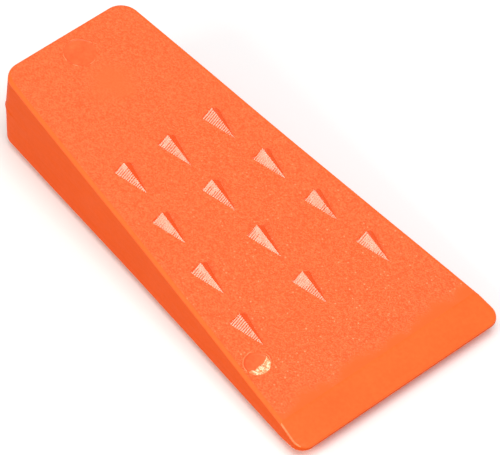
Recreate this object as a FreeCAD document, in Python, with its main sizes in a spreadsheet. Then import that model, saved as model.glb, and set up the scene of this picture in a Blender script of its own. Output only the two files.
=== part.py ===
"""Felling wedge: one solid plastic moulding, 5.5 inch class, millimetres.

The wedge is moulded in two halves that meet at mid thickness, and it is modelled the same way:
everything is built on the half above the parting plane, the whole shape is mirrored to make the
half below, and the ejector marks, which only one half of the mould leaves, are cut last.

Body frame: X runs from the struck head (0) to the thin tip, Y is across, Z = 0 is the parting plane.
The body's Placement then lays the finished wedge down on the crests of its lower spikes.
"""
import FreeCAD, Part
import os
import Sketcher

NODE = "wedge_body"

# alias, value, meaning. Lengths are in millimetres and angles in degrees.
SIZES = [
    ("overall_length", 139.7, "head to tip, 5.5 in"),
    ("head_width", 43.6, "width at the head, before its corners are rounded"),
    ("tip_width", 70.4, "width at the tip, before its corners are rounded"),
    ("head_thickness", 25.4, "thickness at the head, 1 in"),
    ("nose_thickness", 5.8, "thickness where the steeper nose starts"),
    ("tip_thickness", 1.4, "thickness of the blunt tip"),
    ("nose_length", 9.0, "length of the steeper nose"),
    ("draft_angle", 2.0, "mould draft on the head, the sides and the tip"),
    ("head_corner_radius", 5.0, "corners of the head, seen from above"),
    ("tip_corner_radius", 4.0, "corners of the tip, seen from above"),
    ("edge_radius", 0.5, "rounding of the edges round the working faces and the nose"),
    ("spike_length", 11.0, "a spike's base, from back edge to point"),
    ("spike_width", 6.0, "a spike's back edge"),
    ("spike_height", 2.6, "crest above the working face"),
    ("crest_setback", 0.7, "crest forward of the back edge"),
    ("crest_length", 0.6, "small flat on the crest"),
    ("first_row", 43.8, "head to the back edges of the first row"),
    ("row_pitch", 18.4, "one row to the next"),
    ("row_count", 4, "rows of three spikes"),
    ("first_row_inset", 10.7, "side to the centre of an outer spike, first row"),
    ("last_row_inset", 9.3, "side to the centre of an outer spike, last row"),
    ("head_mark_diameter", 9.0, "ejector mark near the head"),
    ("head_mark_depth", 0.15, "how deep it is"),
    ("head_mark_setback", 7.9, "head to its centre"),
    ("tip_mark_diameter", 7.0, "ejector mark near the tip"),
    ("tip_mark_depth", 0.5, "how deep it is"),
    ("tip_mark_setback", 26.4, "tip to its centre"),
    ("tip_mark_inset", 5.6, "side to its centre"),
    ("cut_margin", 2.0, "how far the taper's cut reaches past the blank"),
]

# What follows from those sizes, as expressions for the document.
FACE_RUN = "(Sizes.overall_length - Sizes.nose_length)"
FACE_DROP = "((Sizes.head_thickness - Sizes.nose_thickness) / 2)"
FACE_SLOPE = f"atan({FACE_DROP} / {FACE_RUN})"
SIDE_SPREAD = "((Sizes.tip_width - Sizes.head_width) / 2 / Sizes.overall_length)"
ROWS_LENGTH = "(Sizes.row_pitch * (Sizes.row_count - 1))"
LAST_ROW = f"(Sizes.first_row + {ROWS_LENGTH})"
CREST_WIDTH = "(Sizes.spike_width * Sizes.crest_length / Sizes.spike_length)"


def half_width(place):
    """Half the wedge's width at a distance from the head."""
    return f"(Sizes.head_width / 2 + {SIDE_SPREAD} * {place})"


OUTER_FIRST = f"({half_width('Sizes.first_row')} - Sizes.first_row_inset)"
OUTER_LAST = f"({half_width(LAST_ROW)} - Sizes.last_row_inset)"
TIP_MARK_PLACE = "(Sizes.overall_length - Sizes.tip_mark_setback)"
TIP_MARK_SIDE = f"(Sizes.tip_mark_inset - {half_width(TIP_MARK_PLACE)})"

# The rounding must leave part of the thin tip's wall flat.
ROUNDING = "min(Sizes.edge_radius; 0.8 * Sizes.tip_thickness / 2)"

# How faces and edges are told apart, in millimetres where they are lengths.
WALL_NORMAL = 0.5     # a wall's normal rises less than this
CORNER_CLIMB = 1.0    # an edge that climbs more than this is a corner of the outline
RIM_CLEARANCE = 0.1   # edges above the tip's height, less this, are rims of the working side

# The sketcher's own numbers for a line's ends, and for the sketch's origin and axes.
START, END = 1, 2
CENTRE = 3
ORIGIN = (-1, 1)
X_AXIS, Y_AXIS = -1, -2


def add_sizes(doc):
    sheet = doc.addObject("Spreadsheet::Sheet", "Sizes")
    for row, (alias, value, meaning) in enumerate(SIZES, start=1):
        sheet.set(f"A{row}", alias)
        sheet.set(f"B{row}", str(value))
        sheet.setAlias(f"B{row}", alias)
        sheet.set(f"C{row}", meaning)
    doc.recompute()


def origin_plane(body, role):
    return next(f for f in body.Origin.OriginFeatures if f.Role == role)


def add_sketch(body, name, plane, lift=None):
    """An empty sketch on a plane, or lifted off it by an expression."""
    sketch = body.newObject("Sketcher::SketchObject", name)
    sketch.AttachmentSupport = [(plane, "")]
    sketch.MapMode = "FlatFace"
    if lift:
        sketch.setExpression("AttachmentOffset.Base.z", lift)
    return sketch


def value_of(sketch, expression):
    return float(sketch.evalExpression(expression)) if expression else 0.0


def place_point(sketch, geometry, point, name, x, y):
    """Tie a point to the origin by two expressions; None puts it on that axis."""
    for kind, axis, expression in (("DistanceX", Y_AXIS, x), ("DistanceY", X_AXIS, y)):
        if expression is None:
            sketch.addConstraint(Sketcher.Constraint("PointOnObject", geometry, point, axis))
            continue
        value = value_of(sketch, expression)
        number = sketch.addConstraint(Sketcher.Constraint(kind, *ORIGIN, geometry, point, value))
        label = f"{name}_{kind[-1].lower()}"
        sketch.renameConstraint(number, label)
        sketch.setExpression(f"Constraints.{label}", expression)


def draw_outline(sketch, corners):
    """A closed outline of straight lines. Each corner is a name, an x and a y."""
    spots = [FreeCAD.Vector(value_of(sketch, x), value_of(sketch, y), 0) for _, x, y in corners]
    count = len(corners)
    for i in range(count):
        sketch.addGeometry(Part.LineSegment(spots[i], spots[(i + 1) % count]), False)
    for i in range(count):
        sketch.addConstraint(Sketcher.Constraint("Coincident", i, END, (i + 1) % count, START))
    for i, (name, x, y) in enumerate(corners):
        place_point(sketch, i, START, name, x, y)


def draw_circle(sketch, diameter, x, y):
    centre = FreeCAD.Vector(value_of(sketch, x), value_of(sketch, y), 0)
    radius = value_of(sketch, diameter) / 2
    sketch.addGeometry(Part.Circle(centre, FreeCAD.Vector(0, 0, 1), radius), False)
    place_point(sketch, 0, CENTRE, "centre", x, y)
    number = sketch.addConstraint(Sketcher.Constraint("Diameter", 0, 2 * radius))
    sketch.renameConstraint(number, "diameter")
    sketch.setExpression("Constraints.diameter", diameter)


def edges_where(feature, wanted):
    """The names of a feature's edges whose two ends pass a test."""
    names = []
    for number, edge in enumerate(feature.Shape.Edges, start=1):
        ends = [vertex.Point for vertex in edge.Vertexes]
        if len(ends) == 2 and wanted(edge, *ends):
            names.append(f"Edge{number}")
    return names


def add_fillet(body, name, base, edges, radius):
    fillet = body.newObject("PartDesign::Fillet", name)
    fillet.Base = (base, edges)
    fillet.setExpression("Radius", radius)
    return fillet


def add_blank(body):
    """The upper half before its taper is cut: the drafted outline with rounded corners."""
    outline = add_sketch(body, "plan_outline", origin_plane(body, "XY_Plane"))
    half_head, half_tip = "Sizes.head_width / 2", "Sizes.tip_width / 2"
    draw_outline(outline, [
        ("head_right", None, f"-{half_head}"),
        ("tip_right", "Sizes.overall_length", f"-{half_tip}"),
        ("tip_left", "Sizes.overall_length", half_tip),
        ("head_left", None, half_head),
    ])
    blank = body.newObject("PartDesign::Pad", "blank")
    blank.Profile = outline
    blank.setExpression("Length", "Sizes.head_thickness / 2")
    body.Document.recompute()

    middle = blank.Shape.BoundBox.Center.x
    walls = [f"Face{number}" for number, face in enumerate(blank.Shape.Faces, start=1)
             if abs(face.normalAt(0, 0).z) < WALL_NORMAL]
    draft = body.newObject("PartDesign::Draft", "draft")
    draft.Base = (blank, walls)
    draft.NeutralPlane = (origin_plane(body, "XY_Plane"), [""])
    draft.setExpression("Angle", "Sizes.draft_angle")
    body.Document.recompute()
    blank = draft
    for end, radius in (("head", "Sizes.head_corner_radius"), ("tip", "Sizes.tip_corner_radius")):
        corners = edges_where(blank, lambda edge, a, b: abs(a.z - b.z) > CORNER_CLIMB
                              and (a.x < middle) == (end == "head"))
        blank = add_fillet(body, f"{end}_corners", blank, corners, radius)
        body.Document.recompute()
    return blank


def add_taper(body):
    """Cut away what lies above the working face and the nose."""
    profile = add_sketch(body, "side_profile", origin_plane(body, "XZ_Plane"))
    above = "Sizes.head_thickness / 2 + Sizes.cut_margin"
    beyond = "Sizes.overall_length + Sizes.cut_margin"
    draw_outline(profile, [
        ("head", None, "Sizes.head_thickness / 2"),
        ("nose", FACE_RUN, "Sizes.nose_thickness / 2"),
        ("tip", "Sizes.overall_length", "Sizes.tip_thickness / 2"),
        ("beyond_tip", beyond, "Sizes.tip_thickness / 2"),
        ("above_tip", beyond, above),
        ("above_head", None, above),
    ])
    taper = body.newObject("PartDesign::Pocket", "taper")
    taper.Profile = profile
    taper.SideType = "Symmetric"
    taper.setExpression("Length", "Sizes.tip_width + 2 * Sizes.cut_margin")
    body.Document.recompute()
    return taper


def round_edges(body, taper):
    """Round every edge where the working face and the nose meet the walls, and the nose break."""
    working_side = value_of(taper.Profile[0], "Sizes.tip_thickness / 2") - RIM_CLEARANCE
    edges = edges_where(taper, lambda edge, a, b: min(a.z, b.z) > working_side)
    rounded = add_fillet(body, "edges", taper, edges, ROUNDING)
    body.Document.recompute()
    return rounded


def add_working_face(body):
    """A plane on the upper working face: its X runs down the slope from the head."""
    face = body.newObject("PartDesign::Plane", "working_face")
    face.AttachmentSupport = [(origin_plane(body, "XY_Plane"), "")]
    face.MapMode = "FlatFace"
    across = FreeCAD.Rotation(FreeCAD.Vector(0, 1, 0), 1)
    face.AttachmentOffset = FreeCAD.Placement(FreeCAD.Vector(0, 0, 0), across)
    face.setExpression("AttachmentOffset.Rotation.Angle", FACE_SLOPE)
    face.setExpression("AttachmentOffset.Base.z", "Sizes.head_thickness / 2")
    body.Document.recompute()
    return face


def add_spike(body, name, face, middle):
    """One barb: a three-sided base drawn up to a small flat crest near its back edge."""
    across = f"{middle} + " if middle else ""
    base = add_sketch(body, f"{name}_base", face)
    draw_outline(base, [
        ("back_right", "Sizes.first_row", f"{across}-Sizes.spike_width / 2"),
        ("point", "Sizes.first_row + Sizes.spike_length", middle),
        ("back_left", "Sizes.first_row", f"{across}Sizes.spike_width / 2"),
    ])
    crest_back = "Sizes.first_row + Sizes.crest_setback"
    crest = add_sketch(body, f"{name}_crest", face, lift="Sizes.spike_height")
    draw_outline(crest, [
        ("back_right", crest_back, f"{across}-{CREST_WIDTH} / 2"),
        ("point", f"{crest_back} + Sizes.crest_length", middle),
        ("back_left", crest_back, f"{across}{CREST_WIDTH} / 2"),
    ])
    spike = body.newObject("PartDesign::AdditiveLoft", name)
    spike.Profile = base
    spike.Sections = [crest]
    spike.Ruled = True
    body.Document.recompute()
    return spike


def add_rows(body, name, line, edge, length):
    """A pattern of row_count copies along a sketch's line or axis."""
    rows = body.newObject("PartDesign::LinearPattern", name)
    rows.Direction = (line, [edge])
    rows.setExpression("Length", length)
    rows.setExpression("Occurrences", "Sizes.row_count")
    return rows


def add_middle_column(body, face):
    spike = add_spike(body, "middle_spike", face, None)
    rows = add_rows(body, "middle_column", spike.Profile[0], "H_Axis", ROWS_LENGTH)
    rows.Originals = [spike]
    body.Tip = rows
    body.Document.recompute()


def add_outer_columns(body, face):
    """The outer spikes stay parallel to the middle ones while their columns spread to the tip."""
    line = add_sketch(body, "outer_line", face)
    first, last = (FreeCAD.Vector(value_of(line, x), value_of(line, y), 0)
                   for x, y in (("Sizes.first_row", OUTER_FIRST), (LAST_ROW, OUTER_LAST)))
    line.addGeometry(Part.LineSegment(first, last), False)
    place_point(line, 0, START, "first", "Sizes.first_row", OUTER_FIRST)
    place_point(line, 0, END, "last", LAST_ROW, OUTER_LAST)

    spike = add_spike(body, "outer_spike", face, OUTER_FIRST)
    columns = body.newObject("PartDesign::MultiTransform", "outer_columns")
    columns.Originals = [spike]
    spread = f"({OUTER_LAST} - {OUTER_FIRST})"
    rows = add_rows(body, "outer_rows", line, "Edge1", f"sqrt({ROWS_LENGTH}^2 + {spread}^2)")
    sides = body.newObject("PartDesign::Mirrored", "both_sides")
    sides.MirrorPlane = (origin_plane(body, "XZ_Plane"), [""])
    columns.Transformations = [rows, sides]
    body.Tip = columns
    body.Document.recompute()


def add_lower_half(body):
    half = body.newObject("PartDesign::Mirrored", "lower_half")
    half.TransformMode = "Whole shape"
    half.MirrorPlane = (origin_plane(body, "XY_Plane"), [""])
    half.Refine = True
    body.Tip = half
    body.Document.recompute()


def add_mark(body, name, face, diameter, depth, x, y):
    """A round ejector mark sunk into the upper working face."""
    circle = add_sketch(body, f"{name}_circle", face)
    draw_circle(circle, diameter, x, y)
    mark = body.newObject("PartDesign::Pocket", name)
    mark.Profile = circle
    mark.setExpression("Length", depth)
    body.Document.recompute()


def build_wedge(doc):
    body = doc.addObject("PartDesign::Body", NODE)
    body.Label = NODE
    add_blank(body)
    round_edges(body, add_taper(body))
    face = add_working_face(body)
    add_middle_column(body, face)
    add_outer_columns(body, face)
    add_lower_half(body)
    add_mark(body, "head_mark", face, "Sizes.head_mark_diameter", "Sizes.head_mark_depth",
             "Sizes.head_mark_setback", None)
    add_mark(body, "tip_mark", face, "Sizes.tip_mark_diameter", "Sizes.tip_mark_depth",
             TIP_MARK_PLACE, TIP_MARK_SIDE)
    return body


def lay_down(body):
    """Turn the lower working face level, and put the origin under the middle, at crest height."""
    body.Placement = FreeCAD.Placement(FreeCAD.Vector(), FreeCAD.Vector(0, 1, 0), 1)
    body.setExpression("Placement.Rotation.Angle", FACE_SLOPE)
    body.Document.recompute()
    box = body.Shape.optimalBoundingBox(False, False)
    body.Placement.Base = FreeCAD.Vector(-box.Center.x, -box.Center.y, -box.ZMin)
    body.Document.recompute()


def check(doc):
    for thing in doc.Objects:
        if {"Invalid", "Error"} & set(thing.State):
            raise RuntimeError(f"{thing.Label} failed: {thing.State}")
    for body in doc.findObjects("PartDesign::Body"):
        if body.Shape.isNull() or not body.Shape.isValid():
            raise RuntimeError(f"{body.Label} has no valid shape")
        if len(body.Shape.Solids) != 1:
            raise RuntimeError(f"{body.Label} is {len(body.Shape.Solids)} solids, not one")


doc = FreeCAD.newDocument("felling_wedge")
add_sizes(doc)
wedge = build_wedge(doc)
lay_down(wedge)
check(doc)
os.makedirs("parts", exist_ok=True)
wedge.Shape.exportStep(f"parts/{wedge.Label}.step")
box = wedge.Shape.optimalBoundingBox(False, False)
print(f"{wedge.Label}: {box.XLength:.2f} x {box.YLength:.2f} x {box.ZLength:.2f} mm,",
      f"{wedge.Shape.Volume / 1000:.2f} cm3, {len(wedge.Shape.Faces)} faces")
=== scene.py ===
# %% [markdown]
# # A felling wedge
#
# A felling wedge is one solid block of tough orange plastic, a little shorter than a hand. Its
# blunt head is struck with an axe, and its thin tip goes into the saw cut. It is moulded between
# two halves of a mould that meet at mid thickness, so everything here is built round that parting
# plane: X runs from the head to the tip, Y is across, and Z = 0 is where the halves meet. The
# wedge is laid down to rest once it is whole.

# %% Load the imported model
import math
import random

import bmesh
import bpy
from mathutils import Matrix, Vector, noise


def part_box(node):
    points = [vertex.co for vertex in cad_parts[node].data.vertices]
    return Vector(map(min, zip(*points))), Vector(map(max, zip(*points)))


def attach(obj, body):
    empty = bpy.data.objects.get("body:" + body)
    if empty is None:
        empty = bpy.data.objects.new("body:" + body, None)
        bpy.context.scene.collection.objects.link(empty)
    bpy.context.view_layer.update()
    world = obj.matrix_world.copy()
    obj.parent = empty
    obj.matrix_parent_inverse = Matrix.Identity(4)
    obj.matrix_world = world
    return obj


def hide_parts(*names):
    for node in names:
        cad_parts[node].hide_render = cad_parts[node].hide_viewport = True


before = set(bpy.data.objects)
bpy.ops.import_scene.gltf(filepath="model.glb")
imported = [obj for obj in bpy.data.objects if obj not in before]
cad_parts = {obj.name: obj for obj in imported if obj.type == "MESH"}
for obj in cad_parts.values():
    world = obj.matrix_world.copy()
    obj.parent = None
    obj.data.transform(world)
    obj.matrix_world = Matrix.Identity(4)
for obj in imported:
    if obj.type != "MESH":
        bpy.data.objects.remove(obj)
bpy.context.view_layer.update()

# %% [markdown]
# ## The sizes
#
# Blender works in metres, and a moulder thinks in millimetres, so each size is written in
# millimetres and multiplied once. The thickness falls evenly from the head to the nose, and then
# faster along the nose. Two small functions say how thick and how wide the wedge is at any place.

# %% Sizes of the plain wedge
MM = 0.001
LENGTH = 139.7 * MM
HEAD_WIDTH, TIP_WIDTH = 43.6 * MM, 70.4 * MM
HEAD_THICKNESS, NOSE_THICKNESS, TIP_THICKNESS = 25.4 * MM, 5.8 * MM, 1.4 * MM
NOSE_START = LENGTH - 9.0 * MM
DRAFT = math.tan(math.radians(2.0))
FACE_SLOPE = math.atan((HEAD_THICKNESS - NOSE_THICKNESS) / 2 / NOSE_START)
HAIR = 0.05 * MM                # anything nearer than this counts as the same place
WELD = 0.001 * MM               # points nearer than this are joined


def between(start, end, part):
    return start + (end - start) * part


def half_width(x):
    return between(HEAD_WIDTH, TIP_WIDTH, x / LENGTH) / 2


def half_thickness(x):
    if x < NOSE_START:
        return between(HEAD_THICKNESS, NOSE_THICKNESS, x / NOSE_START) / 2
    return between(NOSE_THICKNESS, TIP_THICKNESS, (x - NOSE_START) / (LENGTH - NOSE_START)) / 2


print("working faces slope", round(math.degrees(FACE_SLOPE), 2), "degrees each")

# %% [markdown]
# ## The finishes, by number
#
# The mould was not polished the same all over. Its two big faces were left grained, its walls and
# nose smooth, and the pits that form the barbs still carry the cutter's marks. Pins marked the
# moulding as they pushed it out. Some edges are painted paler as their highlights, and the walls
# darker as their shade. Each finish is a material slot. A face's slot number lasts through every
# later step, as long as each mesh has the slots.

# %% Number the finishes
GRAINED, WALL_PAINTED_SHADE, NOSE, RIM_PAINTED_HIGHLIGHT, RIBBED, MARK_FLOOR, PAINTED_HIGHLIGHT, TORN = range(8)
FINISH_COUNT = 8
print("finishes:", FINISH_COUNT)

# %% [markdown]
# ## The blank
#
# The wedge starts as a cube with two extra cuts: one at the parting plane and one where the nose
# begins. Its corners are then drawn in to the taper. The walls also lean in a little away from the
# parting plane, which lets the real one leave its mould.

# %% A cube cut at the parting plane and at the nose
def cut(bm, place, direction):
    """Add edges wherever a plane crosses the mesh."""
    everything = bm.verts[:] + bm.edges[:] + bm.faces[:]
    bmesh.ops.bisect_plane(bm, geom=everything, plane_co=place, plane_no=direction)


blank = bmesh.new()
bmesh.ops.create_cube(blank, size=1.0)
bmesh.ops.scale(blank, vec=(LENGTH, HEAD_WIDTH, HEAD_THICKNESS), verts=blank.verts)
bmesh.ops.translate(blank, vec=(LENGTH / 2, 0, 0), verts=blank.verts)
cut(blank, (0, 0, 0), (0, 0, 1))
cut(blank, (NOSE_START, 0, 0), (1, 0, 0))
for vert in blank.verts:
    x, y, z = vert.co
    height = half_thickness(x) if abs(z) > HAIR else 0.0
    lean = DRAFT * height
    along = x + lean if x < HAIR else x - lean if x > LENGTH - HAIR else x
    vert.co = (along, math.copysign(half_width(x) - lean, y), math.copysign(height, z))
print("blank:", len(blank.verts), "points,", len(blank.faces), "faces")

# %% [markdown]
# ## The rounded corners
#
# Seen from above, the four corners are rounded: wide at the head, which takes the blows, and
# smaller at the tip. A bevel on the upright edges makes them, and it goes first, so that the
# smaller rounding of the rims can run round each corner afterwards.

# %% Round the upright corners
HEAD_CORNER, TIP_CORNER = 5.0 * MM, 4.0 * MM
CORNER_STEPS = 9
END_BAND = 1 * MM               # an end's upright edges are nearer to it than this


def upright_edges(bm, x_from, x_to):
    """Edges that cross from one level to another within a stretch of the length."""
    return [edge for edge in bm.edges
            if all(x_from <= vert.co.x <= x_to for vert in edge.verts)
            and abs(edge.verts[0].co.z - edge.verts[1].co.z) > HAIR]


for edges, radius in ((upright_edges(blank, 0, END_BAND), HEAD_CORNER),
                      (upright_edges(blank, LENGTH - END_BAND, LENGTH), TIP_CORNER)):
    bmesh.ops.bevel(blank, geom=edges, offset=radius, offset_type="OFFSET",
                    segments=CORNER_STEPS, profile=0.5, affect="EDGES", material=-1)
print("with corners:", len(blank.faces), "faces")

# %% [markdown]
# ## The rims
#
# The rim between a working face and a wall is rounded by a millimetre, but the thin nose has no
# room for that. One Bevel modifier can do both: each edge carries a weight, and the modifier
# multiplies its width by it. Along the nose the weight falls gradually round the tip's corners, so
# the rounding never changes size at once. The modifier's clamp is off, because the short edges
# round the corners would otherwise make every rim narrower.

# %% Weigh the rims and bevel them
RIM_RADIUS, RIM_STEPS = 1.0 * MM, 5
NOSE_RIM, TIP_RIM, NOSE_BREAK = 0.42, 0.32, 0.55     # shares of the rim's radius
LEVEL = 0.5                     # a face whose normal rises more than this is a working face
weight = blank.edges.layers.float.new("bevel_weight_edge")
blank.normal_update()
for edge in blank.edges:
    rises = sorted(abs(face.normal.z) for face in edge.link_faces)
    middle = sum((vert.co for vert in edge.verts), Vector()) / 2
    if rises[0] < LEVEL < rises[1]:
        round_corner = min(1, max(0, (middle.x - LENGTH + TIP_CORNER) / TIP_CORNER))
        on_nose = middle.x > NOSE_START
        edge[weight] = between(NOSE_RIM, TIP_RIM, round_corner) if on_nose else 1.0
    elif rises[0] > LEVEL and abs(middle.x - NOSE_START) < HAIR:
        edge[weight] = NOSE_BREAK


def object_from(bm, name, slots=0):
    """An object in the scene with this mesh and this many empty material slots."""
    mesh = bpy.data.meshes.new(name)
    for _ in range(slots):
        mesh.materials.append(None)
    bm.to_mesh(mesh)
    made = bpy.data.objects.new(name, mesh)
    bpy.context.scene.collection.objects.link(made)
    return made


def apply_modifiers(made):
    """Give the object the mesh that its modifiers make, and take them off."""
    graph = bpy.context.evaluated_depsgraph_get()
    finished = bpy.data.meshes.new_from_object(made.evaluated_get(graph))
    made.modifiers.clear()
    made.data = finished


wedge = object_from(blank, "wedge_moulding", FINISH_COUNT)
rims = wedge.modifiers.new("rims", "BEVEL")
rims.limit_method = "WEIGHT"
rims.width = RIM_RADIUS
rims.segments = RIM_STEPS
rims.profile = 0.5
rims.use_clamp_overlap = False
apply_modifiers(wedge)
print("with rims:", len(wedge.data.polygons), "faces")

# %% [markdown]
# ## Room to move
#
# A moulding is never quite flat. Before its faces can bow they need more points, so planes slice
# it into a net of small squares. The slices along the wedge fan out with its sides, and meet
# where the sides would meet, so none of them runs askew over a rim.

# %% Slice the wedge into a net
NET = 3.0 * MM
ACROSS, UP = 24, 5              # strips across the wedge, and levels in each half
FLASH_HALF = 0.16 * MM          # half the width of the seam's ridge
spread = (TIP_WIDTH - HEAD_WIDTH) / 2 / LENGTH
fall = (HEAD_THICKNESS - NOSE_THICKNESS) / 2 / NOSE_START
net = bmesh.new()
net.from_mesh(wedge.data)
for step in range(1, int(LENGTH / NET) + 1):
    cut(net, (step * NET, 0, 0), (1, 0, 0))
for strip in range(1 - ACROSS // 2, ACROSS // 2):
    share = strip / (ACROSS / 2)
    cut(net, (0, share * HEAD_WIDTH / 2, 0), (-share * spread, 1, 0))
for level in range(1 - UP, UP):
    share = level / UP
    cut(net, (0, 0, share * HEAD_THICKNESS / 2), (share * fall, 0, 1))
for side in (-1, 1):
    cut(net, (0, 0, side * FLASH_HALF), (0, 0, 1))
print("net:", len(net.faces), "faces")

# %% [markdown]
# ## Shrinkage and the seam
#
# Hot plastic shrinks as it sets. The thick middle of each side draws in by a quarter of a
# millimetre, the working faces dish a little, and both take on a slow waviness. Where the two
# halves of the mould met, a fine ridge of flash runs all round the walls. It is highest at the
# head.

# %% Let the moulding shrink, and raise its seam
SIDE_SINK, FACE_SINK = 0.28 * MM, 0.12 * MM
SINK_SHARPNESS = 4              # higher keeps the sides' sink nearer to the walls
WAVE, WAVE_LENGTH = 0.05 * MM, 26 * MM
FIRM_HEAD, FIRM_THICKNESS = 4 * MM, 4 * MM       # nearer the head, or thinner, it moves less
SIDE_FLASH, HEAD_FLASH, FLASH_FADE = 0.03 * MM, 0.2 * MM, 9 * MM
FLASH_ROUGHNESS, FLASH_PATCH = 0.5, 5 * MM       # how uneven the seam is, and over what length
ON_SEAM = 0.01 * MM                              # nearer to mid thickness than this is the seam


def bell(part):
    """Rises from 0 to 1 and falls back to 0 as part goes from 0 to 1."""
    return math.sin(math.pi * min(max(part, 0.0), 1.0)) ** 2


def shrunk(point):
    """Where a point of the hot moulding is once it has cooled."""
    x, y, z = point
    wide, thick = half_width(x), half_thickness(min(x, LENGTH))
    wave = WAVE * noise.noise(point / WAVE_LENGTH)
    bow = bell((x - FIRM_HEAD) / (NOSE_START - FIRM_HEAD))
    draw = SIDE_SINK * bow * (y / wide) ** SINK_SHARPNESS
    dish = FACE_SINK * bell(x / NOSE_START) * (1 - (y / wide) ** 2) * min(1, (z / thick) ** 2)
    calm = min(1, thick / FIRM_THICKNESS)
    return Vector((x, y - math.copysign(draw + wave * calm, y) * abs(y) / wide,
                   z - math.copysign(dish + wave * calm, z) * abs(z) / thick))


net.normal_update()
seam = [vert for vert in net.verts if abs(vert.co.z) < ON_SEAM]
ridge = []
for vert in seam:
    outward = Vector((vert.normal.x, vert.normal.y, 0)).normalized()
    rough = 1 + FLASH_ROUGHNESS * noise.noise(vert.co / FLASH_PATCH)
    near_head = max(0, 1 - vert.co.x / FLASH_FADE)
    ridge.append((vert, outward * rough * between(SIDE_FLASH, HEAD_FLASH, near_head)))
for vert in net.verts:
    vert.co = shrunk(vert.co)
for vert, outward in ridge:
    vert.co += outward
print("seam:", len(seam), "points raised")

# %% [markdown]
# ## Which finish goes where
#
# The wedge's own faces take five finishes: grain on the two big faces, a rim round them painted a
# shade paler as its highlight, a smooth wall painted darker as its shade, a smooth nose, and a
# paler line painted along each side of the nose as its highlight.

# %% Mark the wedge's own faces
FACE_RISE = math.cos(FACE_SLOPE) - 0.004         # a working face's normal rises at least this much
WALL_RISE = 0.1                                  # and a wall's no more than this
RUBBED_RISE = (0.25, 0.9)                        # the middle of a rim
NET_WELD = 0.002 * MM                            # the slices leave points this close
for face in net.faces:
    centre = face.calc_center_median()
    rise = abs(face.normal.z)
    if centre.x > NOSE_START - NOSE_BREAK * RIM_RADIUS and rise > WALL_RISE:
        on_side_rim = (RUBBED_RISE[0] < rise < RUBBED_RISE[1]
                       and abs(face.normal.y) > abs(face.normal.x))
        # The nose's side rims take the paler finish, a painted highlight line.
        face.material_index = PAINTED_HIGHLIGHT if on_side_rim else NOSE
    elif rise > FACE_RISE:
        face.material_index = GRAINED
    else:
        # Rims take the finish painted paler as their highlight, and walls the one painted darker
        # as their shade.
        face.material_index = RIM_PAINTED_HIGHLIGHT if rise > WALL_RISE else WALL_PAINTED_SHADE
bmesh.ops.remove_doubles(net, verts=net.verts, dist=NET_WELD)
bmesh.ops.recalc_face_normals(net, faces=net.faces)
net.to_mesh(wedge.data)
print("grained faces:", sum(face.material_index == GRAINED for face in net.faces))

# %% [markdown]
# ## The barbs
#
# Each working face has twelve barbs, so that a driven wedge doesn't spring back out. A barb is
# half a pyramid: steep at the back, then a long ridge down to a point that faces the tip. The
# mould's cutter went down its flanks in steps, which leaves fine grooves across them. A flat grid
# of points is bent into that shape, and then pulled down through the face to make it solid.

# %% One barb, lying at the origin
BARB_LENGTH, BARB_HALF = 11.1 * MM, 3.05 * MM
BARB_HEIGHT, BARB_SETBACK = 2.6 * MM, 0.7 * MM
GROOVE_PITCH, GROOVE_DEPTH = 0.62 * MM, 0.05 * MM
ROOT_DEPTH, BEDDED = 1.2 * MM, 0.04 * MM
STEPS_PER_GROOVE, STRIPS = 6, 8
GROOVE_SHARPNESS = 4            # higher leaves narrower grooves
GROOVE_MEAN, GROOVE_PLAY = 0.85, 0.5             # a groove's share of that depth, give or take
VARY_ALONG, VARY_ACROSS, VARY_PHASE = 9, 0.6, 20               # how fast that share varies
GROOVE_ONSET = 4                # grooves reach full depth at a quarter of the barb's height
POINT_SHARE, SIDE_CURVE = 0.012, 0.94            # the point's width, and the sides' fullness


def barb_mesh(height, setback, phase, depth):
    """A barb whose back edge is at x = 0, whose point is on +X, and whose top is at setback."""
    top = setback / BARB_LENGTH
    stations = int(BARB_LENGTH / GROOVE_PITCH * STEPS_PER_GROOVE)
    bm = bmesh.new()
    bmesh.ops.create_grid(bm, x_segments=stations, y_segments=STRIPS, size=0.5)
    for vert in bm.verts:
        part, across = vert.co.x + 0.5, 2 * vert.co.y
        ridge_height = min(part / top, (1 - part) / (1 - top))
        turn = math.tau * (part * BARB_LENGTH / GROOVE_PITCH + phase)
        uneven = GROOVE_MEAN + GROOVE_PLAY * noise.noise(
            Vector((part * VARY_ALONG, across * VARY_ACROSS, phase * VARY_PHASE)))
        groove = (depth * max(0, math.cos(turn)) ** GROOVE_SHARPNESS * uneven
                  * min(1, ridge_height * GROOVE_ONSET))
        side = BARB_HALF * max(1 - part, POINT_SHARE) ** SIDE_CURVE
        lift = height * ridge_height * (1 - abs(across))
        vert.co = (part * BARB_LENGTH, across * (side - groove), lift - groove)
    skirt = [edge for edge in bm.edges if edge.is_boundary]
    sides = bmesh.ops.extrude_edge_only(bm, edges=skirt)["geom"]
    foot = [item for item in sides if isinstance(item, bmesh.types.BMVert)]
    for vert in foot:
        vert.co.z = -ROOT_DEPTH
    bmesh.ops.holes_fill(bm, edges=[edge for edge in bm.edges if edge.is_boundary])
    bmesh.ops.remove_doubles(bm, verts=bm.verts, dist=WELD)
    bmesh.ops.recalc_face_normals(bm, faces=bm.faces)
    for face in bm.faces:
        face.material_index = RIBBED
    return bm


trial = barb_mesh(BARB_HEIGHT, BARB_SETBACK, 0.0, GROOVE_DEPTH)
print("a barb:", len(trial.faces), "faces, open edges:", sum(e.is_boundary for e in trial.edges))
trial.free()

# %% [markdown]
# Twelve barbs stand on each face in four rows of three. The outer columns spread with the sides.
# A matrix carries a point from "flat on a face" to the sloping face itself, and a second one turns
# the upper face's pattern over for the lower face. Each barb is bedded a hair into the face, which
# has sunk a little there. On the upper face the middle column's tops stand further back. No two
# barbs were cut quite alike, so a seeded random generator varies them.

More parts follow.
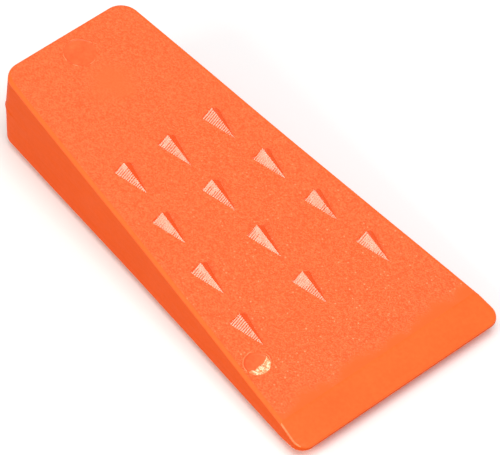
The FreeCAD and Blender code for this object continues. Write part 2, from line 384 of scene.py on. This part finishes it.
# %% Stand the barbs on both faces
FIRST_ROW, ROW_PITCH, ROWS = 43.8 * MM, 18.4 * MM, 4
FIRST_OUTER, LAST_OUTER = 15.3 * MM, 22.0 * MM
# A column is its side, its barbs' height and their tops' setback.
UPPER_COLUMNS = ((-1, 2.75 * MM, 0.85 * MM), (0, 2.75 * MM, 0.5 * MM), (1, 2.7 * MM, 0.8 * MM))
LOWER_COLUMNS = tuple((side, BARB_HEIGHT, BARB_SETBACK) for side in (-1, 0, 1))
UPPER_PLAY, LOWER_PLAY = 0.035, 0.0              # how much the heights vary
DEPTH_PLAY = (0.8, 1.3)                          # and the grooves' depths
SEED = 12
chance = random.Random(SEED)
on_face = (Matrix.Translation((0, 0, HEAD_THICKNESS / 2))
           @ Matrix.Rotation(FACE_SLOPE, 4, "Y"))
turned_over = Matrix.Diagonal((1, 1, -1, 1))


def add_mesh(target, bm):
    """Add one bmesh's faces to another."""
    carrier = bpy.data.meshes.new("carrier")
    bm.to_mesh(carrier)
    target.from_mesh(carrier)
    bpy.data.meshes.remove(carrier)


def dish_at(x, y):
    """How far the upper face has sunk at this place."""
    level = half_thickness(x)
    return level - shrunk(Vector((x, y, level))).z


def barbs_on(face_matrix, columns, play):
    """The twelve barbs of one face."""
    group = bmesh.new()
    for row in range(ROWS):
        outer = between(FIRST_OUTER, LAST_OUTER, row / (ROWS - 1))
        for side, height, setback in columns:
            barb = barb_mesh(height * (1 + play * chance.uniform(-1, 1)), setback,
                             chance.random(), GROOVE_DEPTH * chance.uniform(*DEPTH_PLAY))
            start = FIRST_ROW + row * ROW_PITCH
            sunk = dish_at(start + BARB_LENGTH / 2, side * outer) + BEDDED
            place = Matrix.Translation((start, side * outer, -sunk))
            bmesh.ops.transform(barb, matrix=face_matrix @ place, verts=barb.verts)
            bmesh.ops.recalc_face_normals(barb, faces=barb.faces)
            add_mesh(group, barb)
            barb.free()
    return group


barbs = barbs_on(on_face, UPPER_COLUMNS, UPPER_PLAY)
lower_barbs = barbs_on(turned_over @ on_face, LOWER_COLUMNS, LOWER_PLAY)
add_mesh(barbs, lower_barbs)
print("barbs:", len(barbs.faces), "faces")

# %% [markdown]
# ## The ejector marks
#
# Two pins pushed the finished wedge out of the mould, and each left a round mark on the upper
# face. The one near the head is hardly more than a shine. The one near the tip is a shallow pit
# whose tipward side tore as the pin let go. A disc of rings is spun from a line of points, sunk to
# the mark's floor, and closed over the top, which makes a stamp to cut with.

# %% A stamp, spun from a line of points
HEAD_MARK, HEAD_MARK_RADIUS = Vector((7.9 * MM, 0, 0)), 4.5 * MM
TIP_MARK, TIP_MARK_RADIUS = Vector((113.3 * MM, -27.1 * MM, 0)), 3.5 * MM
SPIN_STEPS = 96
RINGS, EDGE_RINGS = 24, (0.985, 1.0, 1.012)      # as shares of the stamp's radius
LIFTED = 1.006                                   # rings past this share rise to the stamp's top
STAMP_TOP = 0.6 * MM


def stamp(radius, floor, finish):
    """A closed cutter with a shaped floor. floor(share, angle) gives a height below the face."""
    bm = bmesh.new()
    shares = [ring / RINGS for ring in range(RINGS)] + list(EDGE_RINGS)
    line = [bm.verts.new((radius * share, 0, 0)) for share in shares]
    for a, b in zip(line, line[1:]):
        bm.edges.new((a, b))
    bmesh.ops.spin(bm, geom=bm.verts[:] + bm.edges[:], cent=(0, 0, 0), axis=(0, 0, 1),
                   angle=math.tau, steps=SPIN_STEPS, use_merge=True)
    bmesh.ops.remove_doubles(bm, verts=bm.verts, dist=WELD)
    for vert in bm.verts:
        share = vert.co.xy.length / radius
        angle = math.atan2(vert.co.y, vert.co.x)
        vert.co.z = STAMP_TOP if share > LIFTED else -floor(min(share, 1), angle)
    for face in bm.faces:
        centre = face.calc_center_median()
        face.material_index = finish(centre.xy.length / radius, math.atan2(centre.y, centre.x))
    bmesh.ops.holes_fill(bm, edges=[edge for edge in bm.edges if edge.is_boundary])
    bmesh.ops.recalc_face_normals(bm, faces=bm.faces)
    return bm


print("stamp is a function")

# %% [markdown]
# Each floor says how deep the mark is at a share of its radius and at an angle round it. The head
# mark's is plain. On the tip mark, the tear is a crescent that is widest towards the tip, and its
# shreds stand much higher than the smooth floor beside it.

# %% The floors of the two marks, and their stamps
HEAD_DEPTH, HEAD_SIDE, HEAD_BRIM = 0.13 * MM, 12, 0.25
TIP_DEPTH, TIP_SIDE, TIP_BRIM = 0.42 * MM, 8, 0.1
TEAR_SIDE, TEAR_REACH = math.radians(6), math.radians(92)      # its middle, and half its angle
TEAR_ENDS, TEAR_MIDDLE = 1.02, 0.05              # its inner edge, as shares of the radius
TEAR_FULLNESS, TEAR_BLEND = 0.7, 0.22
TEAR_WOBBLE, WOBBLE_RATE = 0.16, 3
SHRED_RATE, FINE_SHRED_RATE, FINE_SHREDS = 5.5, 13, 0.6
FINE_PLACE = Vector((3, 1, 0))                   # keeps the fine noise apart from the coarse
TEAR_RIM, TEAR_FALL, SHRED_HEIGHT = 0.14 * MM, 0.22 * MM, 0.2 * MM
LEAST_DEPTH = 0.02 * MM
TORN_FROM = 0.35                                 # more torn than this takes the torn finish


def pit(share, depth, steepness, brim):
    """A flat floor whose side climbs until only this share of the depth is left at the brim."""
    return depth * min(1, (1 - share) * steepness + brim)


def spot_at(share, angle):
    return Vector((math.cos(angle), math.sin(angle), 0)) * share


def torn(share, angle):
    """How torn the tip mark is: 0 on its smooth floor, 1 on its torn side."""
    away = math.remainder(angle - TEAR_SIDE, math.tau)
    if abs(away) > TEAR_REACH:
        return 0.0
    width = math.cos(away / TEAR_REACH * math.pi / 2) ** TEAR_FULLNESS
    wobble = TEAR_WOBBLE * noise.noise(spot_at(share, angle) * WOBBLE_RATE)
    inner = between(TEAR_ENDS, TEAR_MIDDLE, width) + wobble
    return min(1.0, max(0.0, (share - inner) / TEAR_BLEND))


def head_floor(share, angle):
    return pit(share, HEAD_DEPTH, HEAD_SIDE, HEAD_BRIM)


def tip_floor(share, angle):
    spot = spot_at(share, angle)
    ragged = (noise.noise(spot * SHRED_RATE)
              + FINE_SHREDS * noise.noise(spot * FINE_SHRED_RATE + FINE_PLACE))
    shreds = TEAR_RIM + TEAR_FALL * (1 - share) + SHRED_HEIGHT * ragged
    return between(pit(share, TIP_DEPTH, TIP_SIDE, TIP_BRIM), max(LEAST_DEPTH, shreds),
                   torn(share, angle))


def tip_finish(share, angle):
    return TORN if torn(share, angle) > TORN_FROM else MARK_FLOOR


head_stamp = stamp(HEAD_MARK_RADIUS, head_floor, lambda share, angle: MARK_FLOOR)
tip_stamp = stamp(TIP_MARK_RADIUS, tip_floor, tip_finish)
for bm, place in ((head_stamp, HEAD_MARK), (tip_stamp, TIP_MARK)):
    bmesh.ops.transform(bm, matrix=on_face @ Matrix.Translation(place), verts=bm.verts)
print("stamps:", len(head_stamp.faces), "and", len(tip_stamp.faces), "faces")

# %% [markdown]
# The pin also pushed up a thin, uneven lip round each mark. A lip is a ring: a small circle spun
# round the mark. Noise lifts it here and drowns it there, so the lip comes and goes.

# %% The lips round the marks
# A lip is its place, its radius, its thickness, its unevenness and how deep it is sunk, the last
# two as shares of its thickness.
LIPS = ((HEAD_MARK, HEAD_MARK_RADIUS + 0.1 * MM, 0.13 * MM, 2.4, 0.75),
        (TIP_MARK, TIP_MARK_RADIUS + 0.15 * MM, 0.18 * MM, 2.8, 0.55))
LIP_SIDES, LIP_WAVE, LIP_SWELL = 8, 2.2 * MM, 0.5


def lip(radius, thickness, unevenness, sunk):
    """A ring that rises out of the face in some places and sinks into it in others."""
    bm = bmesh.new()
    upright = Matrix.Translation((radius, 0, 0)) @ Matrix.Rotation(math.pi / 2, 4, "X")
    bmesh.ops.create_circle(bm, segments=LIP_SIDES, radius=thickness, matrix=upright)
    bmesh.ops.spin(bm, geom=bm.verts[:] + bm.edges[:], cent=(0, 0, 0), axis=(0, 0, 1),
                   angle=math.tau, steps=SPIN_STEPS, use_merge=True)
    bmesh.ops.remove_doubles(bm, verts=bm.verts, dist=WELD)
    for vert in bm.verts:
        bump = unevenness * noise.noise(Vector((vert.co.x, vert.co.y, 0)) / LIP_WAVE)
        vert.co.z += thickness * (bump - sunk)
        vert.co.xy *= 1 + LIP_SWELL * thickness * bump / radius
    for face in bm.faces:
        # The lip takes the paler finish, painted as the highlight on its raised ridge.
        face.material_index = PAINTED_HIGHLIGHT
    bmesh.ops.recalc_face_normals(bm, faces=bm.faces)
    return bm


lips = bmesh.new()
for place, *facts in LIPS:
    ring = lip(*facts)
    bmesh.ops.transform(ring, matrix=on_face @ Matrix.Translation(place), verts=ring.verts)
    add_mesh(lips, ring)
print("lips:", len(lips.faces), "faces")

# %% [markdown]
# ## Joining
#
# A Boolean modifier joins closed shapes exactly. The barbs and the lips are added to the wedge,
# and the stamps are taken away from it. The cutters are thrown away afterwards, so one closed
# moulding is left.

# %% Join everything into one moulding
def combine(target, bm, operation):
    """Join a shape to the target, or cut it away."""
    tool = object_from(bm, "tool", FINISH_COUNT)
    join = target.modifiers.new("join", "BOOLEAN")
    join.object = tool
    join.operation = operation
    join.solver = "EXACT"
    join.material_mode = "INDEX"
    apply_modifiers(target)
    bpy.data.objects.remove(tool)


combine(wedge, barbs, "UNION")
combine(wedge, lips, "UNION")
combine(wedge, head_stamp, "DIFFERENCE")
combine(wedge, tip_stamp, "DIFFERENCE")
print("moulding:", len(wedge.data.polygons), "faces")

# %% [markdown]
# ## Laying it down
#
# The wedge rests on its lower barbs, so its lower face lies level. First the points that joining
# left all but touching are merged, and an edge that no face uses is taken out. The wedge is then
# turned by the slope of one face, and moved so that its barbs touch the floor and its middle is
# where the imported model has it.

# %% Lay the moulding down
JOIN_WELD, SHORTEST_EDGE = 0.003 * MM, 0.002 * MM


def span(bm, axis):
    """The lowest and the highest place that a mesh reaches along an axis."""
    places = [vert.co[axis] for vert in bm.verts]
    return min(places), max(places)


body = bmesh.new()
body.from_mesh(wedge.data)
bmesh.ops.remove_doubles(body, verts=body.verts, dist=JOIN_WELD)
bmesh.ops.dissolve_degenerate(body, edges=body.edges, dist=SHORTEST_EDGE)
stray = [edge for edge in body.edges if not edge.link_faces]
bmesh.ops.delete(body, geom=stray, context="EDGES")
bmesh.ops.transform(body, matrix=Matrix.Rotation(FACE_SLOPE, 4, "Y"), verts=body.verts)
cad_low, cad_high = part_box("wedge_body")
shift = Vector(((cad_low.x + cad_high.x - sum(span(body, 0))) / 2,
                (cad_low.y + cad_high.y - sum(span(body, 1))) / 2,
                cad_low.z - span(body, 2)[0]))
bmesh.ops.translate(body, vec=shift, verts=body.verts)
bmesh.ops.triangulate(body, faces=[face for face in body.faces if len(face.verts) > 4])
bmesh.ops.recalc_face_normals(body, faces=body.faces)
body.to_mesh(wedge.data)
print("triangles:", sum(len(face.verts) - 2 for face in body.faces),
      "open edges:", sum(not edge.is_manifold for edge in body.edges),
      "shift:", [round(v / MM, 3) for v in shift])

# %% [markdown]
# Smooth shading hides the small faces of the roundings, but a barb's edges have to stay crisp, so
# edges that turn by more than 30 degrees are marked sharp. Weighted normals then keep the large
# faces flat right up to their rims.

# %% Shade it smooth with crisp edges
CRISP = math.radians(30)
wedge.data.shade_smooth()
wedge.data.set_sharp_from_angle(angle=CRISP)
flat = wedge.modifiers.new("flat_faces", "WEIGHTED_NORMAL")
flat.keep_sharp = True
print("shaded:", wedge.name)

# %% [markdown]
# ## The finishes
#
# It is all one plastic, a strong orange, and only its surface differs. So one function makes the
# plastic, and a few lines after it give each finish its grain, clouds or tears. Everything is
# patterned on the object's own coordinates, in metres, so a grain of half a millimetre is noise
# with a scale of about a thousand.

# %% The plastic that every finish starts from
PLASTIC_IOR = 1.53
NOISE_FEATURE = 0.5             # noise of scale 1 has features about this wide, in metres
NOISE_RANGE = (0.3, 0.7)        # most of a noise texture's values lie between these


def new_plastic(name, roughness, specular):
    """A material with only its shader and its coordinates."""
    material = bpy.data.materials.new(name)
    material.use_nodes = True
    nodes, links = material.node_tree.nodes, material.node_tree.links
    shader = nodes["Principled BSDF"]
    shader.inputs["Roughness"].default_value = roughness
    shader.inputs["Specular IOR Level"].default_value = specular
    shader.inputs["IOR"].default_value = PLASTIC_IOR
    place = nodes.new("ShaderNodeTexCoord").outputs["Object"]
    return material, nodes, links, shader, place


def noise_of(nodes, links, place, size, detail=2.0, rough=0.5):
    """Noise whose features are about this many metres across."""
    made = nodes.new("ShaderNodeTexNoise")
    made.inputs["Scale"].default_value = NOISE_FEATURE / size
    made.inputs["Detail"].default_value = detail
    made.inputs["Roughness"].default_value = rough
    links.new(place, made.inputs["Vector"])
    return made.outputs["Fac"]


def stepped(nodes, links, value, low, high, from_value=0.0, to_value=1.0):
    """A smooth step: from_value below low, to_value above high."""
    made = nodes.new("ShaderNodeMapRange")
    made.interpolation_type = "SMOOTHSTEP"
    for name, number in (("From Min", low), ("From Max", high),
                         ("To Min", from_value), ("To Max", to_value)):
        made.inputs[name].default_value = number
    links.new(value, made.inputs["Value"])
    return made.outputs["Result"]


def maths(nodes, links, operation, a, b):
    """One sum on two values, each a socket or a number."""
    made = nodes.new("ShaderNodeMath")
    made.operation = operation
    for socket, item in zip(made.inputs, (a, b)):
        if isinstance(item, (int, float)):
            socket.default_value = item
        else:
            links.new(item, socket)
    return made.outputs[0]


def mixed(nodes, links, share, first, second):
    """Blend two colours, each a colour or a socket."""
    made = nodes.new("ShaderNodeMix")
    made.data_type = "RGBA"
    links.new(share, made.inputs["Factor"])
    for name, item in (("A", first), ("B", second)):
        socket = [s for s in made.inputs if s.name == name and s.type == "RGBA"][0]
        if isinstance(item, tuple):
            socket.default_value = item
        else:
            links.new(item, socket)
    return [s for s in made.outputs if s.type == "RGBA"][0]


def bumped(nodes, links, shader, height, depth):
    """Raise the surface by up to depth metres where height is 1."""
    made = nodes.new("ShaderNodeBump")
    made.inputs["Distance"].default_value = depth
    links.new(height, made.inputs["Height"])
    links.new(made.outputs["Normal"], shader.inputs["Normal"])


print("plastic helpers ready")

# %% [markdown]
# The big faces carry a pebbly grain of a quarter to half a millimetre. It fades out just before
# the nose along an uneven line, it is a little weaker towards the head, and it is faint in a spot
# near the head that handling has polished. Scattered specks are lighter: these are grains that
# stood highest and have been rubbed. They are ragged dots, gathered in loose patches, and there
# are more of them towards the tip.

# %% Grained finish for the working faces
FACE_ROUGHNESS, FACE_SHINE = 0.42, 0.32
EDGE_PATCH, EDGE_WANDER = 3 * MM, 9.5 * MM       # how unevenly the grain ends
FADE = (60 * MM, 65 * MM)                        # it fades between these places along the wedge
HEADWARD, HEAD_GRAIN = (-60 * MM, 20 * MM), 0.85
POLISHED_SPOT, SPOT_RADII, SPOT_GRAIN = (-47.7 * MM, 0, 23 * MM), (7 * MM, 15 * MM), 0.15
FINE_GRAIN, COARSE_GRAIN, FINE_SHARE = 0.24 * MM, 0.55 * MM, 0.75
GRAIN_HEIGHT, GRAIN_ROUGHNESS = 0.14 * MM, (0.46, 0.38)        # low grains are duller than high
SPECK_CELL, SPECK_RAGGED, SPECK_EDGE = 1.35 * MM, 0.6, (0.38, 0.54)
SPECK_PATCH, SPECK_CHANCE = 5 * MM, (0.95, 1.3)
TIPWARD, HEAD_SPECKS = (-60 * MM, 60 * MM), 0.15
SPECK_STRENGTH, SPECK_LIFT = 0.8, 0.6
# The grain's hollows are painted darker and its crests paler: painted shade and highlight on the
# pebbles.
HOLLOW, CREST = (0.955, 0.107, 0.016, 1), (1.0, 0.188, 0.049, 1)
SPECK, UNGRAINED = (1.0, 0.4, 0.18, 1), (0.965, 0.128, 0.016, 1)


def grain_amount(nodes, links, place, along):
    """How strong the grain is: 0 on the nose, 1 in the middle of a face."""
    wander = maths(nodes, links, "MULTIPLY", noise_of(nodes, links, place, EDGE_PATCH),
                   EDGE_WANDER)
    edge = maths(nodes, links, "ADD", along, wander)
    there = stepped(nodes, links, edge, *FADE, 1.0, 0.0)
    fresh = stepped(nodes, links, along, *HEADWARD, HEAD_GRAIN, 1.0)
    gap = nodes.new("ShaderNodeVectorMath")
    gap.operation = "DISTANCE"
    gap.inputs[1].default_value = POLISHED_SPOT
    links.new(place, gap.inputs[0])
    rubbed = stepped(nodes, links, maths(nodes, links, "ADD", gap.outputs["Value"], wander),
                     *SPOT_RADII, SPOT_GRAIN, 1.0)
    amount = maths(nodes, links, "MULTIPLY", maths(nodes, links, "MULTIPLY", there, fresh), rubbed)
    return there, amount


def rubbed_specks(nodes, links, place, along, fine, amount):
    """Where a speck is: 1 in its middle, and 0 between specks."""
    cells = nodes.new("ShaderNodeTexVoronoi")
    cells.inputs["Scale"].default_value = 1 / SPECK_CELL
    links.new(place, cells.inputs["Vector"])
    ragged = maths(nodes, links, "MULTIPLY", fine, SPECK_RAGGED)
    dot = stepped(nodes, links, maths(nodes, links, "ADD", cells.outputs["Distance"], ragged),
                  *SPECK_EDGE, 1.0, 0.0)
    pick = nodes.new("ShaderNodeSeparateColor")
    links.new(cells.outputs["Color"], pick.inputs[0])
    gathered = maths(nodes, links, "ADD", pick.outputs[0],
                     noise_of(nodes, links, place, SPECK_PATCH))
    few = stepped(nodes, links, gathered, *SPECK_CHANCE)
    near_tip = stepped(nodes, links, along, *TIPWARD, HEAD_SPECKS, 1.0)
    return maths(nodes, links, "MULTIPLY", maths(nodes, links, "MULTIPLY", dot, few),
                 maths(nodes, links, "MULTIPLY", amount, near_tip))


def grained_finish():
    material, nodes, links, shader, place = new_plastic("plastic_grained", FACE_ROUGHNESS,
                                                        FACE_SHINE)
    split = nodes.new("ShaderNodeSeparateXYZ")
    links.new(place, split.inputs[0])
    along = split.outputs["X"]
    there, amount = grain_amount(nodes, links, place, along)
    fine = noise_of(nodes, links, place, FINE_GRAIN, detail=3.0, rough=0.6)
    coarse = noise_of(nodes, links, place, COARSE_GRAIN, detail=1.0)
    pebble = maths(nodes, links, "ADD", maths(nodes, links, "MULTIPLY", fine, FINE_SHARE),
                   maths(nodes, links, "MULTIPLY", coarse, 1 - FINE_SHARE))
    pebble = stepped(nodes, links, pebble, *NOISE_RANGE)
    height = maths(nodes, links, "MULTIPLY", pebble, amount)
    speck = rubbed_specks(nodes, links, place, along, fine, amount)
    # The tone follows the pebbles' height, so hollows take painted shade and crests a painted
    # highlight.
    tone = maths(nodes, links, "MULTIPLY", maths(nodes, links, "SUBTRACT", pebble, 0.5), amount)
    colour = mixed(nodes, links, stepped(nodes, links, tone, -0.5, 0.5), HOLLOW, CREST)
    colour = mixed(nodes, links, maths(nodes, links, "MULTIPLY", speck, SPECK_STRENGTH), colour,
                   SPECK)
    colour = mixed(nodes, links, there, UNGRAINED, colour)
    links.new(colour, shader.inputs["Base Color"])
    links.new(stepped(nodes, links, height, 0, 1, *GRAIN_ROUGHNESS), shader.inputs["Roughness"])
    raised = maths(nodes, links, "ADD", height,
                   maths(nodes, links, "MULTIPLY", speck, SPECK_LIFT))
    bumped(nodes, links, shader, raised, GRAIN_HEIGHT)
    return material


print("grained finish is a function")

# %% [markdown]
# The walls and the nose come from polished steel, so they are smooth. They still show the faint
# drag of leaving the mould and a slow clouding of the colour. The rims' orange is painted a shade
# paler than the faces', as their highlight.

# %% Smooth finishes for the walls, nose, rims and marks
CLOUD_SIZE, MOTTLE_SIZE, CLOUD_SHARE = 9 * MM, 0.5 * MM, 0.55
TONE_RANGE = (0.2, 0.8)
STREAK_SIZE, STREAK_STRETCH = 0.5 * MM, (0.15, 1, 1)           # a streak runs along the wedge
STREAK_ROUGHNESS = (-0.04, 0.06)
SMOOTH_HEIGHT = 0.004 * MM


def smooth_finish(name, base, other, roughness, specular, cloud_size=CLOUD_SIZE):
    material, nodes, links, shader, place = new_plastic(name, roughness, specular)
    cloud = noise_of(nodes, links, place, cloud_size, detail=3)
    mottle = noise_of(nodes, links, place, MOTTLE_SIZE)
    tone = maths(nodes, links, "ADD", maths(nodes, links, "MULTIPLY", cloud, CLOUD_SHARE),
                 maths(nodes, links, "MULTIPLY", mottle, 1 - CLOUD_SHARE))
    colour = mixed(nodes, links, stepped(nodes, links, tone, *TONE_RANGE), base, other)
    links.new(colour, shader.inputs["Base Color"])
    drag = nodes.new("ShaderNodeMapping")
    drag.inputs["Scale"].default_value = STREAK_STRETCH
    links.new(place, drag.inputs["Vector"])
    streak = noise_of(nodes, links, drag.outputs["Vector"], STREAK_SIZE)
    links.new(stepped(nodes, links, streak, *NOISE_RANGE,
                      *(roughness + change for change in STREAK_ROUGHNESS)),
              shader.inputs["Roughness"])
    bumped(nodes, links, shader, maths(nodes, links, "ADD", streak, mottle), SMOOTH_HEIGHT)
    return material


print("smooth finish is a function")

# %% [markdown]
# The barbs' flanks are the glossiest of all, because the cutter left the pits that form them
# bright. Their own orange is a shade deeper than the faces', and they look pale only where they
# mirror a light. The torn side of the tip mark is painted nearly white: partly the whitening of
# torn plastic, which is full of tiny cracks that scatter light, and partly a painted highlight
# where its wall faces the light.

# %% Ribbed finish for the barbs, and the torn finish
RIBBED_SMEAR, RIBBED_GRIT, GRIT_HEIGHT = 0.7 * MM, 0.15 * MM, 0.002 * MM
RIBBED_ROUGHNESS, RIBBED_SHINE = (0.2, 0.26), 1.0
FLANK, SMEARED = (0.97, 0.095, 0.012, 1), (1.0, 0.118, 0.02, 1)
SHRED_SIZE, SHRED_EDGE, SHRED_BUMP = 0.4 * MM, (0.42, 0.6), 0.06 * MM
FLECK_SIZE, FLECK_EDGE = 0.3 * MM, (0.6, 0.68)
TORN_ROUGHNESS, TORN_SHINE = 0.35, 0.6
# The shreds' near-white is partly the whitening of torn plastic and partly a painted highlight.
STRETCHED, WHITENED_AND_HIGHLIT, FLECK = (1.0, 0.3, 0.1, 1), (1.0, 0.84, 0.52, 1), (0.5, 0.16, 0.04, 1)


def ribbed_finish():
    material, nodes, links, shader, place = new_plastic("plastic_ribbed", RIBBED_ROUGHNESS[0],
                                                        RIBBED_SHINE)
    smear = stepped(nodes, links, noise_of(nodes, links, place, RIBBED_SMEAR, detail=3),
                    *NOISE_RANGE)
    links.new(mixed(nodes, links, smear, FLANK, SMEARED), shader.inputs["Base Color"])
    links.new(stepped(nodes, links, smear, 0, 1, *RIBBED_ROUGHNESS), shader.inputs["Roughness"])
    bumped(nodes, links, shader, noise_of(nodes, links, place, RIBBED_GRIT), GRIT_HEIGHT)
    return material


def torn_finish():
    material, nodes, links, shader, place = new_plastic("plastic_torn", TORN_ROUGHNESS,
                                                        TORN_SHINE)
    shreds = stepped(nodes, links, noise_of(nodes, links, place, SHRED_SIZE), *SHRED_EDGE)
    flecks = stepped(nodes, links, noise_of(nodes, links, place, FLECK_SIZE), *FLECK_EDGE)
    # Shreds are painted nearly white: partly torn plastic's whitening, partly a painted highlight.
    colour = mixed(nodes, links, shreds, STRETCHED, WHITENED_AND_HIGHLIT)
    colour = mixed(nodes, links, flecks, colour, FLECK)
    links.new(colour, shader.inputs["Base Color"])
    bumped(nodes, links, shader, shreds, SHRED_BUMP)
    return material


print("ribbed and torn finishes are functions")

# %% [markdown]
# One smooth finish differs from the next only in its two colours, its roughness, its shine and the
# size of its clouds, so those are a table. The walls are the dullest, and their orange is painted
# darkest, as the shade that falls on the sides. The rims' orange is painted a shade paler, as
# their highlight. The marks' floors and the edges painted with a paler highlight are the shiniest,
# with the smallest clouds.

# %% Give every slot its finish
SMOOTH = {
    # The walls' orange is painted darker than the faces', as the shade that falls on the sides.
    WALL_PAINTED_SHADE: ("plastic_wall", (0.74, 0.085, 0.0065, 1), (0.80, 0.098, 0.009, 1), 0.5, 0.04),
    NOSE: ("plastic_nose", (0.93, 0.110, 0.010, 1), (1.0, 0.146, 0.018, 1), 0.44, 0.24),
    # The rims' orange is painted a shade paler, as their highlight.
    RIM_PAINTED_HIGHLIGHT: ("plastic_rim", (0.99, 0.134, 0.018, 1), (1.0, 0.158, 0.028, 1), 0.55, 0.2),
    MARK_FLOOR: ("plastic_mark", (0.93, 0.098, 0.018, 1), (1.0, 0.165, 0.042, 1), 0.36, 0.34,
                 2.2 * MM),
    # A paler orange, painted as the highlight on the nose's side rims and on the marks' lips.
    PAINTED_HIGHLIGHT: ("plastic_bright", (1.0, 0.17, 0.045, 1), (1.0, 0.3, 0.11, 1), 0.4, 0.4, 1.2 * MM),
}
finishes = {GRAINED: grained_finish(), RIBBED: ribbed_finish(), TORN: torn_finish()}
for number, facts in SMOOTH.items():
    finishes[number] = smooth_finish(*facts)
for number, finish in finishes.items():
    wedge.data.materials[number] = finish
print("finishes:", [material.name for material in wedge.data.materials])

# %% [markdown]
# ## Telling the frame
#
# The moulding stands for the plain packed wedge and rides on its only body.

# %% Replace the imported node
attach(wedge, "root")
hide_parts("wedge_body")
print("wedge_moulding replaces wedge_body")

# %% [markdown]
# ## The studio
#
# A plain pale table, an even white room, a large soft panel overhead and a narrower, slightly
# warmer one low on the left. The left panel is what the barbs' flanks mirror. The plain "Standard"
# view keeps the strong orange from being washed out.

# %% Floor, room and lights
TABLE_HALF, TABLE_WHITE, TABLE_ROUGHNESS, TABLE_SHINE = 4.0, (0.95, 0.95, 0.95, 1), 0.7, 0.2
ROOM_WHITE, ROOM_STRENGTH = (1, 1, 1, 1), 0.45
# A panel is its direction from the wedge, its distance, its size, its radiance and its colour.
PANELS = {
    "overhead_panel": ((0.30, -0.10, 0.95), 1.6, (1.2, 1.2), 4.3, (1, 1, 1)),
    "left_panel": ((0.0, -0.83, 0.56), 1.5, (0.85, 0.4), 6.4, (1.0, 0.95, 0.78)),
}

table_white = bpy.data.materials.new("table_white")
table_white.use_nodes = True
coat = table_white.node_tree.nodes["Principled BSDF"]
coat.inputs["Base Color"].default_value = TABLE_WHITE
coat.inputs["Roughness"].default_value = TABLE_ROUGHNESS
coat.inputs["Specular IOR Level"].default_value = TABLE_SHINE

table = bmesh.new()
bmesh.ops.create_grid(table, x_segments=1, y_segments=1, size=TABLE_HALF)
floor = object_from(table, "table_top")
floor.data.materials.append(table_white)

room = bpy.data.worlds.new("white_room")
room.use_nodes = True
room.node_tree.nodes["Background"].inputs["Color"].default_value = ROOM_WHITE
room.node_tree.nodes["Background"].inputs["Strength"].default_value = ROOM_STRENGTH
scene = bpy.context.scene
scene.world = room


def panel(name, toward, distance, size, radiance, colour):
    """A soft panel in that direction from the wedge, facing it."""
    light = bpy.data.lights.new(name, "AREA")
    light.shape = "RECTANGLE"
    light.size, light.size_y = size
    light.color = colour
    light.energy = radiance * math.pi * size[0] * size[1]
    made = bpy.data.objects.new(name, light)
    direction = Vector(toward).normalized()
    made.location = direction * distance
    made.rotation_euler = direction.to_track_quat("Z", "Y").to_euler()
    scene.collection.objects.link(made)


for name, facts in PANELS.items():
    panel(name, *facts)
scene.view_settings.view_transform = "Standard"

# %% [markdown]
# ## The camera
#
# The camera stands well above the wedge, off its tip and towards the near side. A long lens keeps
# the wedge's edges almost parallel, as a catalogue picture does.

# %% Place the camera
CAMERA_TARGET = Vector((5.70, 3.21, 9.63)) * MM
CAMERA_DISTANCE = 1174.67 * MM
CAMERA_TURN, CAMERA_RISE, CAMERA_ROLL = (math.radians(v) for v in (48.991, 47.880, 0.196))
FOCAL_LENGTH, SENSOR_WIDTH = 319.04, 36.0        # in millimetres, as Blender takes them
FURTHEST_SEEN = 50.0
lens = bpy.data.cameras.new("camera")
lens.lens, lens.sensor_width = FOCAL_LENGTH, SENSOR_WIDTH
lens.clip_end = FURTHEST_SEEN
camera = bpy.data.objects.new("camera", lens)
back = Vector((math.sin(CAMERA_TURN) * math.cos(CAMERA_RISE),
               -math.cos(CAMERA_TURN) * math.cos(CAMERA_RISE), math.sin(CAMERA_RISE)))
camera.location = CAMERA_TARGET + back * CAMERA_DISTANCE
aim = back.to_track_quat("Z", "Y").to_matrix() @ Matrix.Rotation(CAMERA_ROLL, 3, "Z")
camera.rotation_euler = aim.to_euler()
scene.collection.objects.link(camera)
scene.camera = camera
print("camera at", [round(v, 3) for v in camera.location])
